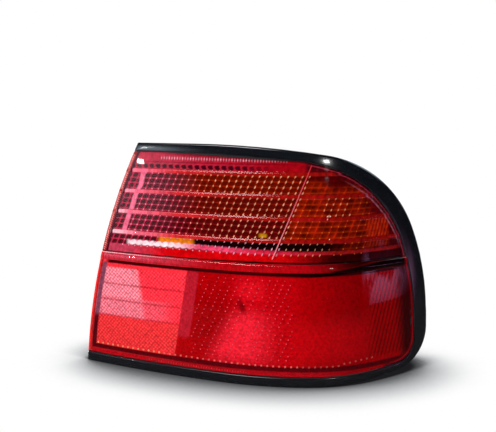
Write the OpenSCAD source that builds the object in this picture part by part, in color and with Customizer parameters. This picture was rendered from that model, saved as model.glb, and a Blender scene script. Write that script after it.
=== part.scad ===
// Right-hand rear lamp cluster of a saloon car, wrapping from the tail panel round to the side.
// X runs outboard along the tail panel, Y forward into the car, Z up.
// The origin is the centre of the four mounting studs, on the flat back of the lamp.

/* [Lens] */
// Height of the lens at its inboard end
lens_h = 213; // [190:1:230]
// Thickness of the lens wall
lens_t = 3; // [2.5:0.1:3.5]
// Depth of the skirt that the lens is bonded by
skirt_depth = 9; // [7:0.5:10]
// Height of the joint between the two lenses
split_z = 108.5; // [95:0.5:120]
// Height of the lowest bead on the upper lens
rib_z = 130; // [126:0.5:134]
// Distance from bead to bead on the upper lens
rib_pitch = 21.3; // [20:0.1:22]
// Rows of lens optics between two beads
rows_per_band = 4; // [3:1:5]

/* [Plan of the lens] */
// Plan radius of the corner
corner_r = 113; // [108:1:122]
// Radius of the upright crown of the lens
crown_r = 960; // [850:10:1200]
// Lean of the lens at its foot, in degrees
lean = 2; // [1:0.5:3]

/* [Housing] */
// Distance from the foot of the lens to the flat back
back_y = 86; // [84:1:94]
// Wall of the housing
wall = 2.6; // [2.2:0.1:3]
// Depth of the rim's lip
lip_depth = 12.5; // [12:0.5:16]
// Direction in plan in which the housing leaves its mould, in degrees from the car's length
draw_angle = 33; // [31:1:35]

/* [Mounting] */
// Sideways distance between studs
stud_span_x = 112; // [104:1:114]
// Upright distance between studs
stud_span_z = 154; // [140:1:158]
// Diameter of a stud
stud_d = 6; // [5:0.5:8]
// Length of a stud behind the housing
stud_l = 22; // [16:1:30]
// Thickness of the foam gasket
gasket_t = 6; // [4:0.5:10]

/* [Bulbs] */
// Diameter of the glass of a large bulb
glass_d = 25; // [23:0.5:26]
// Length of the glass of a large bulb
glass_l = 33; // [30:0.5:34]
// Diameter of the cap of a large bulb
cap_d = 15; // [14.5:0.1:15.5]

/* [Hidden] */

// Plan of the lens: four tangent arcs for tail, shoulder, corner and side. The rays where they join
// are whole-number triangles, so neighbouring arcs meet exactly
shoulder_r = corner_r + 7 * 17;
tail_r = shoulder_r + 8 * 85;
side_r = corner_r + 26 * 13;
radii = [tail_r, shoulder_r, corner_r, side_r];
centres = [[0, tail_r], [8 * 13, tail_r - 8 * 84], [8 * 13 + 7 * 8, tail_r - 8 * 84 - 7 * 15],
    [8 * 13 + 7 * 8 - 26 * 12, tail_r - 8 * 84 - 7 * 15 + 26 * 5]];
rays = [[-50, -1100], [13 * 12, -84 * 12], [8 * 24, -15 * 24], [12 * 48, -5 * 48], [590, -60]];
ray_scale = [1, 1, 0.5, 1];

// Rim of the housing: how far it stands past the lens on top, below and inboard
rim_over = 8.6;
rim_low = 9.5;
inboard_lip = 1.6;
rim_face_t = 3;
rim_lip_t = 2.5;

// Room that the working shapes take beyond the lamp
reach = corner_r - 17;
low_z = -rim_low - 20.5;
high_z = lens_h + rim_over + 18.4;
wide = 700;
crown_levels = [low_z, 0.4 * split_z, split_z, (split_z + lens_h) / 2, high_z];

// Outlines in the draw view: an arc is its radius and the angle it turns
lens_top = [corner_r - 56.7, lens_h];
lens_shoulder = [[1380, 6.2], [120, 64.2]];
lens_side_turn = 19.6;
lens_heel = [[22, 86], [1170, 4]];
lens_inboard_r = 644.8;
rim_top = [corner_r - 16.5, lens_h + rim_over];
rim_shoulder = [[831, 9], [120, 59.6]];
rim_side_turn = 21.4;
rim_heel = [[36.5, 83], [800, 7]];
side_straight = 16.8;
inboard_c = [624.4, -44.1];
facet_turn = 9;
tub_in = 2.4;
tub_low = 7.1;
inboard_wall_c = [733.9, -34];
inboard_wall_r = 757;

// Mounting studs
mount_x = 90;
mount_z = lens_h / 2 - 1.5;
stud_x = mount_x - stud_span_x / 2;
stud_z = mount_z - stud_span_z / 2;
stud_head_d = 12;
stud_head_t = 3;
stud_sunk = 5;
stud_collar = 1.5;
boss_d = 18;
boss_depth = 8;

// Foam gasket round the studs
gasket_w = 7;
gasket_side = 28;
gasket_inset = 6;
gasket_low = stud_z - 30;
gasket_high = stud_z + stud_span_z + 20;
gasket_inboard = [stud_x - 50, stud_x - 16];

// Groove that takes the lens skirt
skirt_t = 2.5;
fit = 0.4;
groove_depth = skirt_depth + 1.5;
groove_in = -skirt_t - fit;
channel_half = 3.6;
pocket_depth = lens_t + 0.2;
split_gap = 0.5;

// Back of the housing in plan: flat behind the tail face, then slanting behind the corner
knee_x = stud_x + stud_span_x + gasket_side + gasket_inset;
slant_dir = [70, 105];

// Upright partitions in the draw view: place at the foot, and lean
part_t = 2.4;
part_lean = 0.43;
part_upper_u = 124.8;
part_lower_u = 248;

// Lens optics
row_pitch = rib_pitch / rows_per_band;
row_h = 0.8;
first_row_z = rib_z - rib_pitch;
row_count = 5 * rows_per_band;
rib_bump = [[-1.7, 0], [-1.2, 0.9], [0, 1.4], [1.2, 0.9], [1.7, 0]];
bead_z = split_z - 4.4;
bead_bump = [[-3.6, 0], [-2.6, 1.6], [-0.9, 2.5], [0.9, 2.5], [2.6, 1.6], [3.6, 0]];
reflex_pitch = 4;
reflex_rows = 20;
reflex_z = 12;
reflex_t = 1.6;
reflex_tooth = 1.4;
flute_pitch = 3.4;
flute_h = 0.8;
flute_lean = 0.3;
flute_count = 11;
flute_from = 14;
flute_to = split_z - 10.5;
amber_back = lip_depth + 2.6;
amber_flute_pitch = 6.8;
amber_flute_count = 24;

// Places of the bulbs: sideways and up for the two large ones
turn_at = [110, (split_z + lens_h) / 2];
stop_at = [140, 0.55 * split_z];
side_along = corner_r - 6;
side_z = stop_at[1] - 1.5;

// Bulb holders
clear = 0.3;
hole_d = 28.4;
side_hole_d = 20.4;
hole_clear = 0.8;
seal_t = 1.6;
seal_w = 4;
lug_out = 3.2;
lug_t = 3;
lug_w = 7;
pin_out = 1.2;
side_cap_front = wall + 2 * clear + lug_t;
flange_t = 3;
holder_back = 18;
side_holder_back = 13;
blade_l = 12;
blade_t = 0.8;
cap_front = 7;
cap_l = 18;
wedge_w = 9.4;
wedge_t = 4.6;
wedge_l = 10;
side_glass_d = 10;
side_glass_l = 20;

// Reflectors
bowl_focus = 18;
bowl_r = 35;
bowl_hole_r = 15.4;
plate_back = 21;
plate_t = 1.6;
side_plate_back = 12;
screw_places = [[48, lens_h - 48], [158, split_z + 17.5], [92, 28], [92, split_z - 16.5]];
screw_d = 3.4;
screw_l = 10;
screw_head_d = 7;
screw_head_t = 2.2;
post_d = 8;

// Vents
vent_places = [[75, lens_h - 33], [75, 22]];
vent_d = 8;
vent_bore = 5;
vent_l = 8;
cap_wall = 1.5;

function inset(z) = crown_r * cos(lean) - sqrt(crown_r * crown_r - pow(z + crown_r * sin(lean), 2));
crown_table = [for (z = crown_levels) [z, inset(z)]];
function at_depth(z, depth) = [-lookup(z, crown_table) - depth, z];
function crown_line(depth) = [for (z = crown_levels) [-inset(z) - depth, z]];
function backwards(list) = [for (i = [len(list) - 1:-1:0]) list[i]];

module place() {
    translate([-mount_x, -back_y, -mount_z]) children();
}

// Carries an upright section round the plan of the lens; the section's x = 0 is the foot of the lens
module sweep() {
    for (i = [0:3])
        translate([centres[i][0], centres[i][1], 0])
            intersection() {
                rotate_extrude($fn = 360) translate([radii[i], 0]) children();
                translate([0, 0, low_z - 1])
                    linear_extrude(high_z - low_z + 2)
                        polygon([[0, 0], rays[i] * ray_scale[i], rays[i + 1] * ray_scale[i]]);
            }
}

module layer(from, to) {
    sweep() polygon(concat(crown_line(from), backwards(crown_line(to))));
}

module behind(depth) {
    sweep() polygon(concat(crown_line(depth), [[-reach, high_z], [-reach, low_z]]));
}

// Extrudes an outline, drawn as seen along the draw direction, through the lamp
module draw() {
    rotate([0, 0, draw_angle])
        translate([0, wide / 2, 0])
            rotate([90, 0, 0])
                linear_extrude(wide) children();
}

// Tangent arcs run clockwise from a heading; each is a radius and the angle it turns
function out(h) = [sin(h), cos(h)];
function bend(arcs, h0, i) = i == 0 ? h0 : bend(arcs, h0, i - 1) + arcs[i - 1][1];
function bend_centre(arcs, h0, start, i) = i == 0 ? start - arcs[0][0] * out(h0)
    : bend_centre(arcs, h0, start, i - 1) + (arcs[i - 1][0] - arcs[i][0]) * out(bend(arcs, h0, i));
function bend_point(arcs, h0, start, i) = let(k = min(i, len(arcs) - 1))
    bend_centre(arcs, h0, start, k) + arcs[k][0] * out(bend(arcs, h0, i));

function bend_points(arcs, h0, start, grow) = [
    for (i = [0:len(arcs) - 1])
        let(c = bend_centre(arcs, h0, start, i), n = ceil(arcs[i][1] / facet_turn))
            for (k = [0:n])
                if (k > 0 || i == 0) c + (arcs[i][0] + grow) * out(bend(arcs, h0, i) + arcs[i][1] * k / n)];

function drop(arcs, h0) = -bend_point(arcs, h0, [0, 0], len(arcs))[1];

// Outline in the draw view: shoulder, side, a straight and heel down to the flat foot, and the round
// inboard edge. The side's arc takes up what the others leave of the height
module outline(top, shoulder, side_turn, heel, foot, straight, inboard_r, grow) {
    side_h = top[1] - foot - straight - drop(shoulder, 0) - drop(heel, 90);
    upper = concat(shoulder, [[side_h / sin(side_turn), side_turn]]);
    side_top = bend_point(upper, 0, top, len(upper));
    side_foot = [side_top[0], foot + drop(heel, 90)];
    low = asin((foot - grow - inboard_c[1]) / (inboard_r + grow));
    high = asin((top[1] + grow - inboard_c[1]) / (inboard_r + grow));
    polygon(concat(
        bend_points(upper, 0, top, grow),
        bend_points(heel, 90, side_foot, grow),
        [for (k = [0:6]) let(a = low + (high - low) * k / 6) inboard_c + (inboard_r + grow) * [-cos(a), sin(a)]]));
}

// Outline of the lens, grown all round, and lowered at the foot
module lens_edge(grow = 0, low = 0) {
    outline(lens_top, lens_shoulder, lens_side_turn, lens_heel, -low, side_straight + low, lens_inboard_r, grow);
}

// Outline of the face of the lens: on the inboard side it covers the lip of the housing
module face_edge(grow = 0) {
    outline(lens_top, lens_shoulder, lens_side_turn, lens_heel, 0, side_straight, lens_inboard_r + inboard_lip,
        grow);
}

// Outline of the rim: narrow on top and below, wide on the outboard side
module rim_edge(grow = 0) {
    outline(rim_top, rim_shoulder, rim_side_turn, rim_heel, -rim_low, side_straight,
        lens_inboard_r + inboard_lip, grow);
}

// Outline of the deep part of the housing
module tub_edge(grow = 0) {
    intersection() {
        rim_edge(grow);
        lens_edge(tub_in + grow, tub_low);
    }
}

// Everything outboard of the inboard wall
module inboard(grow = 0) {
    translate([0, wide / 2, 0])
        rotate([90, 0, 0])
            linear_extrude(wide)
                intersection() {
                    translate(inboard_wall_c) circle(r = inboard_wall_r + grow, $fn = 720);
                    translate([-wide / 2, low_z]) square([wide, high_z - low_z]);
                }
}

// Where the flat back turns into the slanting one, moved towards the lens by an inset
function knee(inset) = let(n = [slant_dir[1], -slant_dir[0]] / norm(slant_dir))
    [knee_x, back_y] + inset * [(1 + n[1]) / n[0], -1];

// Everything in front of the back of the housing
module before_back(inset = 0) {
    k = knee(inset);
    translate([0, 0, low_z])
        linear_extrude(high_z - low_z)
            polygon([[-wide / 2, -wide / 2], [wide, -wide / 2], k + 2 * slant_dir, k, [-wide / 2, k[1]]]);
}

module tub(grow, from) {
    intersection() {
        behind(from);
        draw() tub_edge(grow);
        inboard(inboard_lip + grow);
        before_back(-grow);
    }
}

module at_turn() {
    translate([turn_at[0], back_y, turn_at[1]]) rotate([-90, 0, 0]) children();
}

module at_stop() {
    translate([stop_at[0], back_y, stop_at[1]]) rotate([-90, 0, 0]) children();
}

module at_side() {
    u = slant_dir / norm(slant_dir);
    translate([knee_x + side_along * u[0], back_y + side_along * u[1], side_z])
        rotate([0, 0, atan2(u[1], u[0])])
            rotate([-90, 0, 0]) children();
}

module at_each(places) {
    for (p = places)
        translate([p[0], back_y, p[1]]) rotate([-90, 0, 0]) children();
}

stud_places = [for (x = [0, 1], z = [0, 1]) [stud_x + x * stud_span_x, stud_z + z * stud_span_z]];

// Cylinder between two distances behind the back wall
module rod(d, from, to) {
    translate([0, 0, from]) cylinder(d = d, h = to - from, $fn = 96);
}

// Stud: hexagon head and a collar that ends flush with the back, then the plain shank
module stud() {
    translate([0, 0, -stud_sunk]) cylinder(d = stud_head_d, h = stud_head_t, $fn = 6);
    rod(stud_d + 2 * stud_collar, -stud_sunk + stud_head_t / 2, 0);
    rod(stud_d, -1, stud_l);
}

module screw() {
    rod(screw_head_d, -plate_back - plate_t - screw_head_t, -plate_back - plate_t);
    rod(screw_d, -plate_back - plate_t - 0.5, -plate_back - plate_t + screw_l);
}

// Lugs of a quarter-turn holder, or the notches that let them through
module lugs(d, from, to, extra) {
    for (a = [30, 150, 270])
        rotate([0, 0, a])
            translate([0, -lug_w / 2 - extra, from]) cube([d / 2 + lug_out + extra, lug_w + 2 * extra, to - from]);
}

module holder_hole(d) {
    rod(d, -8, 4);
    lugs(d, -8, 4, clear);
}

module strip(half) {
    translate([-wide / 2, split_z - half]) square([wide, 2 * half]);
}

module above(z) {
    translate([-wide / 2, z]) square([wide, high_z - z]);
}

module below(z) {
    translate([-wide / 2, low_z]) square([wide, z - low_z]);
}

// Upright partition in the draw view, between two heights
module partition(foot_u, width, z0, z1) {
    leaning(foot_u, width, z0, z1, part_lean);
}

module leaning(foot_u, width, z0, z1, lean) {
    polygon([for (p = [[0, z0], [width, z0], [width, z1], [0, z1]]) [foot_u + p[0] + lean * p[1], p[1]]]);
}

module rim() {
    difference() {
        intersection() {
            layer(0, lip_depth);
            draw() rim_edge();
        }
        intersection() {
            layer(rim_face_t, lip_depth + 1);
            draw()
                difference() {
                    rim_edge(-rim_lip_t);
                    lens_edge(tub_in);
                }
        }
    }
}

module inner_walls() {
    intersection() {
        tub(-wall / 2, pocket_depth + 3);
        draw() {
            strip(wall / 2);
            partition(part_upper_u, part_t, split_z, high_z);
            partition(part_lower_u, part_t, low_z, split_z);
        }
    }
    intersection() {
        layer(pocket_depth, lip_depth);
        draw()
            intersection() {
                lens_edge(-1);
                strip(channel_half + 2);
            }
    }
}

// Groove for the lens skirts: round the lens and along the joint of the two lenses
module groove_view() {
    difference() {
        lens_edge(fit);
        lens_edge(groove_in);
    }
    intersection() {
        lens_edge(0);
        strip(channel_half);
    }
}

module housing() {
    color([0.03, 0.035, 0.045])
    place()
    difference() {
        union() {
            difference() {
                union() {
                    rim();
                    tub(0, rim_face_t);
                }
                tub(-wall, lip_depth);
                intersection() {
                    layer(-2, lip_depth + 0.1);
                    draw() lens_edge(groove_in - 2);
                }
            }
            inner_walls();
            at_each(screw_places) rod(post_d, -plate_back, -wall / 2);
            at_each(stud_places) rod(boss_d, -boss_depth, -wall / 2);
            at_each(vent_places) rod(vent_d, -wall / 2, vent_l);
        }
        intersection() {
            layer(-2, pocket_depth);
            draw() face_edge(fit);
        }
        intersection() {
            layer(lens_t, groove_depth);
            draw() groove_view();
        }
        at_turn() holder_hole(hole_d);
        at_stop() holder_hole(hole_d);
        at_side() holder_hole(side_hole_d);
        at_each(stud_places) stud();
        at_each(screw_places) rod(screw_d, -plate_back - 1, -plate_back - plate_t + screw_l);
        at_each(vent_places) rod(vent_bore, -wall - 1, vent_l + 1);
    }
}

// Skirt that a lens is bonded by: round its edge, and along the joint
module skirt(z0, z1, joint_z0, joint_z1) {
    intersection() {
        layer(lens_t / 2, skirt_depth);
        draw()
            intersection() {
                union() {
                    difference() {
                        lens_edge(0);
                        lens_edge(-skirt_t);
                    }
                    intersection() {
                        lens_edge(0);
                        translate([-wide / 2, joint_z0]) square([wide, joint_z1 - joint_z0]);
                    }
                }
                translate([-wide / 2, z0]) square([wide, z1 - z0]);
            }
    }
}

// Upper lens: raised beads outside, rows of level flutes inside
module lens_upper() {
    foot = split_z + split_gap / 2;
    beads = [for (k = [0:3], p = rib_bump) at_depth(rib_z + k * rib_pitch + p[0], -p[1])];
    rows = [for (k = [row_count:-1:1], p = [[0.5, row_h], [0, 0]])
        if (first_row_z + (k - p[0]) * row_pitch > foot + skirt_t)
            at_depth(first_row_z + (k - p[0]) * row_pitch, lens_t + p[1])];
    color([0.45, 0.04, 0.03])
    place() {
        intersection() {
            sweep()
                polygon(concat([at_depth(foot - 1, 0)], beads, [at_depth(high_z, 0), at_depth(high_z, lens_t)],
                    rows, [at_depth(foot - 1, lens_t)]));
            draw()
                intersection() {
                    face_edge();
                    above(foot);
                }
        }
        skirt(foot, high_z, foot, foot + skirt_t);
    }
}

// Lower lens: raised bead along its top, leaning flutes inside at the outboard end
module lens_lower() {
    head = split_z - split_gap / 2;
    bead = [for (p = bead_bump) at_depth(bead_z + p[0], -p[1])];
    color([0.75, 0.03, 0.05])
    place() {
        intersection() {
            sweep()
                polygon(concat([at_depth(low_z, 0), at_depth(crown_levels[1], 0)], bead, [at_depth(head + 1, 0)],
                    [for (z = [head + 1, split_z, crown_levels[1], low_z]) at_depth(z, lens_t)]));
            draw()
                intersection() {
                    face_edge();
                    below(head);
                }
        }
        skirt(low_z, head, head - skirt_t, head);
        intersection() {
            layer(lens_t / 2, lens_t + flute_h);
            draw()
                intersection() {
                    lens_edge(-skirt_t - 1);
                    below(head - skirt_t - 1);
                    for (k = [0:flute_count - 1])
                        translate([part_lower_u + part_t + 4 + k * flute_pitch, 0])
                            leaning(0, flute_pitch / 2, flute_from, flute_to, flute_lean);
                }
        }
    }
}

// Amber inner lens: lies behind the housing's ledge in the turn chamber, with leaning flutes on its back
module inner_lens_amber() {
    color([0.95, 0.45, 0.05])
    place()
    intersection() {
        union() {
            layer(lip_depth + 0.1, amber_back);
            intersection() {
                layer(amber_back - 1, amber_back + flute_h);
                draw()
                    for (k = [1:amber_flute_count])
                        leaning(part_upper_u - k * amber_flute_pitch, amber_flute_pitch / 2, low_z, high_z, part_lean);
            }
        }
        inboard(inboard_lip - wall - clear);
        draw()
            difference() {
                intersection() {
                    tub_edge(-wall - clear);
                    above(split_z + wall / 2 + clear);
                }
                partition(part_upper_u - clear, wide, low_z, high_z);
            }
    }
}

function reflex_view(top) = [[-4, reflex_z], [77, reflex_z], [93, top], [6, top]];

// Reflex plate: welded behind the lower lens, with level prisms on its back
module reflex_plate() {
    top = reflex_z + reflex_rows * reflex_pitch;
    teeth = [for (k = [reflex_rows:-1:1], p = [[0, reflex_t], [0.5, reflex_t + reflex_tooth]])
        at_depth(reflex_z + (k - p[0]) * reflex_pitch, lens_t + p[1])];
    color([0.8, 0.08, 0.1])
    place()
    intersection() {
        sweep()
            polygon(concat([at_depth(reflex_z, lens_t), at_depth(crown_levels[1], lens_t), at_depth(top, lens_t)],
                teeth, [at_depth(reflex_z, lens_t + reflex_t)]));
        draw() polygon(reflex_view(top));
    }
}

module lens_seal() {
    color([0.12, 0.12, 0.13])
    place()
    intersection() {
        layer(skirt_depth, groove_depth);
        draw() groove_view();
    }
}

module plate(back) {
    difference() {
        before_back(back);
        before_back(back + plate_t);
    }
}

// Dish round a bulb, of parabola form, from the bulb's hole to the plate
module bowl() {
    vertex = -plate_back + bowl_r * bowl_r / (4 * bowl_focus);
    steps = [for (k = [0:10]) bowl_hole_r + (bowl_r - bowl_hole_r) * k / 10];
    rotate_extrude($fn = 96)
        polygon(concat(
            [for (r = steps) [r, vertex - r * r / (4 * bowl_focus) - plate_t]],
            [for (r = backwards(steps)) [r, vertex - r * r / (4 * bowl_focus)]]));
}

module reflector_turn() {
    color([0.85, 0.86, 0.88])
    place()
    difference() {
        union() {
            difference() {
                intersection() {
                    plate(plate_back);
                    tub(-wall - clear, lip_depth + 4);
                    draw()
                        difference() {
                            above(split_z + wall / 2 + clear);
                            partition(part_upper_u - clear, wide, low_z, high_z);
                        }
                }
                at_turn() rod(2 * bowl_r - 1, -60, -5);
            }
            at_turn() bowl();
        }
        at_each(screw_places) rod(screw_d, -60, -5);
    }
}

module reflector_stop() {
    color([0.85, 0.86, 0.88])
    place()
    difference() {
        union() {
            difference() {
                intersection() {
                    plate(plate_back);
                    tub(-wall - clear, lip_depth + 4);
                    draw()
                        difference() {
                            below(split_z - wall / 2 - clear);
                            partition(part_lower_u - clear, wide, low_z, high_z);
                        }
                }
                at_stop() rod(2 * bowl_r - 1, -60, -5);
            }
            at_stop() bowl();
        }
        at_each(screw_places) rod(screw_d, -60, -5);
    }
}

// Reflector behind the side marker: a plate on a collar that stands on the back wall
module reflector_side() {
    color([0.85, 0.86, 0.88])
    place()
    difference() {
        union() {
            intersection() {
                plate(side_plate_back);
                tub(-wall - clear, lip_depth + 2);
                draw()
                    difference() {
                        below(split_z - wall / 2 - clear);
                        partition(part_lower_u + part_t + clear - wide, wide, low_z, high_z);
                    }
            }
            at_side() rod(side_hole_d + 2 * lug_out + 5, -side_plate_back - plate_t / 2, -wall);
        }
        at_side() rod(side_hole_d + 2 * lug_out + 2, -60, 0);
    }
}

module reflector_screws() {
    color([0.6, 0.6, 0.62])
    place() at_each(screw_places) screw();
}

// Large bulb with a bayonet cap: round glass, neck, cap, two pins and an end contact
module large_bulb() {
    glass_z = -cap_front - glass_l + glass_d / 2;
    translate([0, 0, glass_z]) sphere(d = glass_d, $fn = 96);
    rod(cap_d - 1, glass_z, -cap_front + 1);
    rod(cap_d, -cap_front, cap_l - cap_front - 2);
    rod(cap_d / 2, cap_l - cap_front - 3, cap_l - cap_front);
    for (a = [0, 180])
        rotate([0, 90, a + 90]) rod(2, 0, cap_d / 2 + pin_out);
}

module small_bulb() {
    tip = -side_cap_front - side_glass_l;
    translate([0, 0, tip + side_glass_d / 2]) sphere(d = side_glass_d, $fn = 64);
    rod(side_glass_d, tip + side_glass_d / 2, -side_cap_front);
    translate([-wedge_w / 2, -wedge_t / 2, -side_cap_front - 1]) cube([wedge_w, wedge_t, wedge_l + 1]);
}

module bulb_turn() {
    color([0.95, 0.55, 0.15])
    place() at_turn() large_bulb();
}

module bulb_stop_tail() {
    color([0.85, 0.88, 0.9])
    place() at_stop() large_bulb();
}

module bulb_side_marker() {
    color([0.85, 0.88, 0.9])
    place() at_side() small_bulb();
}

// Contact under the bulb's foot with its blade, and the strip beside the cap
module large_blades() {
    foot = cap_l - cap_front;
    rod(cap_d / 2 + 2, foot, foot + blade_t);
    translate([-3.15, -blade_t / 2, foot]) cube([6.3, blade_t, holder_back + blade_l - foot]);
    translate([cap_d / 2, -2, 0]) cube([blade_t, 4, holder_back + blade_l]);
}

module small_blades() {
    for (side = [-1, 1])
        translate([side * 2.4 - 1.6, wedge_t / 2 * side - (side < 0 ? blade_t : 0), 0])
            cube([3.2, blade_t, side_holder_back + blade_l]);
}

// Quarter-turn holder: spigot with lugs through the wall, flange on the seal, barrel and two finger wings
module holder_shell(d, back, wing) {
    rod(d - hole_clear, -wall - clear - lug_t, seal_t + 1);
    lugs(d, -wall - clear - lug_t, -wall - clear, 0);
    rod(d + 2 * lug_out + seal_w, seal_t, seal_t + flange_t);
    rod(d - 4, seal_t + flange_t / 2, back);
    translate([-d / 2 - wing, -1.5, seal_t + flange_t / 2]) cube([d + 2 * wing, 3, back - seal_t - flange_t / 2]);
}

module large_holder() {
    difference() {
        holder_shell(hole_d, holder_back, 3);
        rod(cap_d + 0.4, -20, cap_l - cap_front);
        rotate([0, 0, 90]) translate([-cap_d / 2 - pin_out - clear, -1.3, -20])
            cube([cap_d + 2 * pin_out + 2 * clear, 2.6, 21.3]);
        large_blades();
    }
}

module small_holder() {
    difference() {
        holder_shell(side_hole_d, side_holder_back, 2);
        translate([-wedge_w / 2 - 0.2, -wedge_t / 2 - 0.2, -20]) cube([wedge_w + 0.4, wedge_t + 0.4, 20 - side_cap_front + wedge_l]);
        small_blades();
    }
}

module holder_turn() {
    color([0.25, 0.25, 0.26])
    place() at_turn() large_holder();
}

module holder_stop_tail() {
    color([0.25, 0.25, 0.26])
    place() at_stop() large_holder();
}

module holder_side_marker() {
    color([0.25, 0.25, 0.26])
    place() at_side() small_holder();
}

module ring_seal(d) {
    difference() {
        rod(d + 2 * lug_out + seal_w, 0, seal_t);
        rod(d + 2 * lug_out, -1, seal_t + 1);
    }
}

module holder_seal_turn() {
    color([0.1, 0.1, 0.1])
    place() at_turn() ring_seal(hole_d);
}

module holder_seal_stop_tail() {
    color([0.1, 0.1, 0.1])
    place() at_stop() ring_seal(hole_d);
}

module holder_seal_side_marker() {
    color([0.1, 0.1, 0.1])
    place() at_side() ring_seal(side_hole_d);
}

module contacts_turn() {
    color([0.8, 0.65, 0.3])
    place() at_turn() large_blades();
}

module contacts_stop_tail() {
    color([0.8, 0.65, 0.3])
    place() at_stop() large_blades();
}

module contacts_side_marker() {
    color([0.8, 0.65, 0.3])
    place() at_side() small_blades();
}

// Foam gasket round the flat back
module body_gasket() {
    color([0.15, 0.15, 0.16])
    place()
    translate([0, back_y + gasket_t, 0])
        rotate([90, 0, 0])
            linear_extrude(gasket_t)
                difference() {
                    gasket_face(0);
                    gasket_face(gasket_w);
                }
}

module gasket_face(inset) {
    outboard = stud_x + stud_span_x + gasket_side - inset;
    polygon([[gasket_inboard[0] + inset, gasket_low + inset], [outboard, gasket_low + inset],
        [outboard, gasket_high - inset], [gasket_inboard[1] + inset, gasket_high - inset]]);
}

module studs() {
    color([0.7, 0.7, 0.68])
    place() at_each(stud_places) stud();
}

// Rubber caps that let the lamp breathe, pushed over the vent tubes
module vent_caps() {
    color([0.08, 0.08, 0.08])
    place() at_each(vent_places)
        difference() {
            rod(vent_d + 2 * cap_wall, 1, vent_l + cap_wall);
            rod(vent_d, 0, vent_l);
        }
}

housing();
lens_upper();
lens_lower();
inner_lens_amber();
reflex_plate();
lens_seal();
reflector_turn();
reflector_stop();
reflector_side();
reflector_screws();
bulb_turn();
bulb_stop_tail();
bulb_side_marker();
holder_turn();
holder_stop_tail();
holder_side_marker();
holder_seal_turn();
holder_seal_stop_tail();
holder_seal_side_marker();
contacts_turn();
contacts_stop_tail();
contacts_side_marker();
body_gasket();
studs();
vent_caps();
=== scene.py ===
import math

import bpy
import numpy as np
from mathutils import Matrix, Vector


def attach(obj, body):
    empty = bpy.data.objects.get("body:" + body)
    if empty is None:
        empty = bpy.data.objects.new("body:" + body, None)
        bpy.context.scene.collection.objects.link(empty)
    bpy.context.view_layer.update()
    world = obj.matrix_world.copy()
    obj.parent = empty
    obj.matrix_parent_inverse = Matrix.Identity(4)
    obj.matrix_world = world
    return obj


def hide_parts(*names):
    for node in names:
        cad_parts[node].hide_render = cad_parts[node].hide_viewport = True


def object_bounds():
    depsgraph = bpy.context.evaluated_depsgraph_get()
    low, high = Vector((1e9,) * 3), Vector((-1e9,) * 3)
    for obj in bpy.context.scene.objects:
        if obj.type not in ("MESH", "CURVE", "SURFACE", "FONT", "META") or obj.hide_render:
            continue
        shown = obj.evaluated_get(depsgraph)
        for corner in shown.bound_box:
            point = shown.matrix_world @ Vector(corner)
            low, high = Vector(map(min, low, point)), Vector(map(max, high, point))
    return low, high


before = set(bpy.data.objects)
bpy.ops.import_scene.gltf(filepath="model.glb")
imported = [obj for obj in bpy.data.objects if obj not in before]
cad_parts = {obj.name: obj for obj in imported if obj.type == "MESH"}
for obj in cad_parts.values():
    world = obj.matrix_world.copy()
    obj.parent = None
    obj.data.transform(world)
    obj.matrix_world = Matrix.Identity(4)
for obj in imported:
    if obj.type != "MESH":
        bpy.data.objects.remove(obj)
cad_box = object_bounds()
mm = 0.001


# The viewpoint
# The lamp is seen from behind the car's right-hand corner, a little above it, and from
# near enough for the corner to look larger than the inboard end.
camera_data = bpy.data.cameras.new("viewpoint")
camera_data.sensor_width = 36
camera_data.lens = 63.15
camera_data.clip_start = 0.01
camera = bpy.data.objects.new("viewpoint", camera_data)
camera.location = Vector((520.4, -759.5, 144.85)) * mm
camera.rotation_euler = (math.radians(83.44), 0, math.radians(32.66))
bpy.context.collection.objects.link(camera)
bpy.context.scene.camera = camera
bpy.context.scene.view_settings.view_transform = "Standard"


# Floor
# A wide white board that the lamp stands on by its lower edge. Only the soft shadow round the lamp's foot
# shows on it, and that shadow is painted: the board glows white to the eye, darker where the lamp hems it in.
def material(name):
    """A new material and its Principled shader"""
    made = bpy.data.materials.new(name)
    made.use_nodes = True
    return made, made.node_tree.nodes["Principled BSDF"]


def add_node(made, kind, **values):
    """A node of a material, with its settings"""
    node = made.node_tree.nodes.new(kind)
    for name, value in values.items():
        setattr(node, name, value)
    return node


def join(made, source, target):
    made.node_tree.links.new(source, target)


def output_of(made):
    return made.node_tree.nodes["Material Output"].inputs[0]


def ramp_of(made, stops):
    """A colour ramp with its places and colours"""
    node = add_node(made, "ShaderNodeValToRGB")
    while len(node.color_ramp.elements) < len(stops):
        node.color_ramp.elements.new(0.5)
    for element, (place, colour) in zip(node.color_ramp.elements, stops):
        element.position = place
        element.color = (*colour, 1)
    return node


def board_mesh(name, half_w, half_h, z):
    """A flat rectangle"""
    mesh = bpy.data.meshes.new(name)
    corners = [(-half_w, -half_h, z), (half_w, -half_h, z), (half_w, half_h, z), (-half_w, half_h, z)]
    mesh.from_pydata(corners, [], [(0, 1, 2, 3)])
    return mesh


floor_z = cad_box[0][2]
floor_half = 8.0
floor_mesh = board_mesh("floor", floor_half, floor_half, floor_z)
floor = bpy.data.objects.new("floor", floor_mesh)
bpy.context.collection.objects.link(floor)
white_board, board_shader = material("white_board")
board_shader.inputs["Roughness"].default_value = 0.9
board_shader.inputs["Specular IOR Level"].default_value = 0.1
# Painted shadow: the board's colour to the eye darkens with how closely the lamp hems each point in.
board_painted_shadow = add_node(white_board, "ShaderNodeAmbientOcclusion", samples=24)
board_painted_shadow.inputs["Distance"].default_value = 0.11
board_shade = ramp_of(white_board, [(0.44, (0.012, 0.012, 0.014)), (0.62, (0.13, 0.135, 0.14)),
                                    (0.78, (0.60, 0.61, 0.62)), (0.90, (1, 1, 1))])
board_glow = add_node(white_board, "ShaderNodeEmission")
board_rays = add_node(white_board, "ShaderNodeLightPath")
board_seen = add_node(white_board, "ShaderNodeMixShader")
board_base = ramp_of(white_board, [(0.0, (0.75, 0.75, 0.76)), (1.0, (0.02, 0.02, 0.02))])
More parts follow.
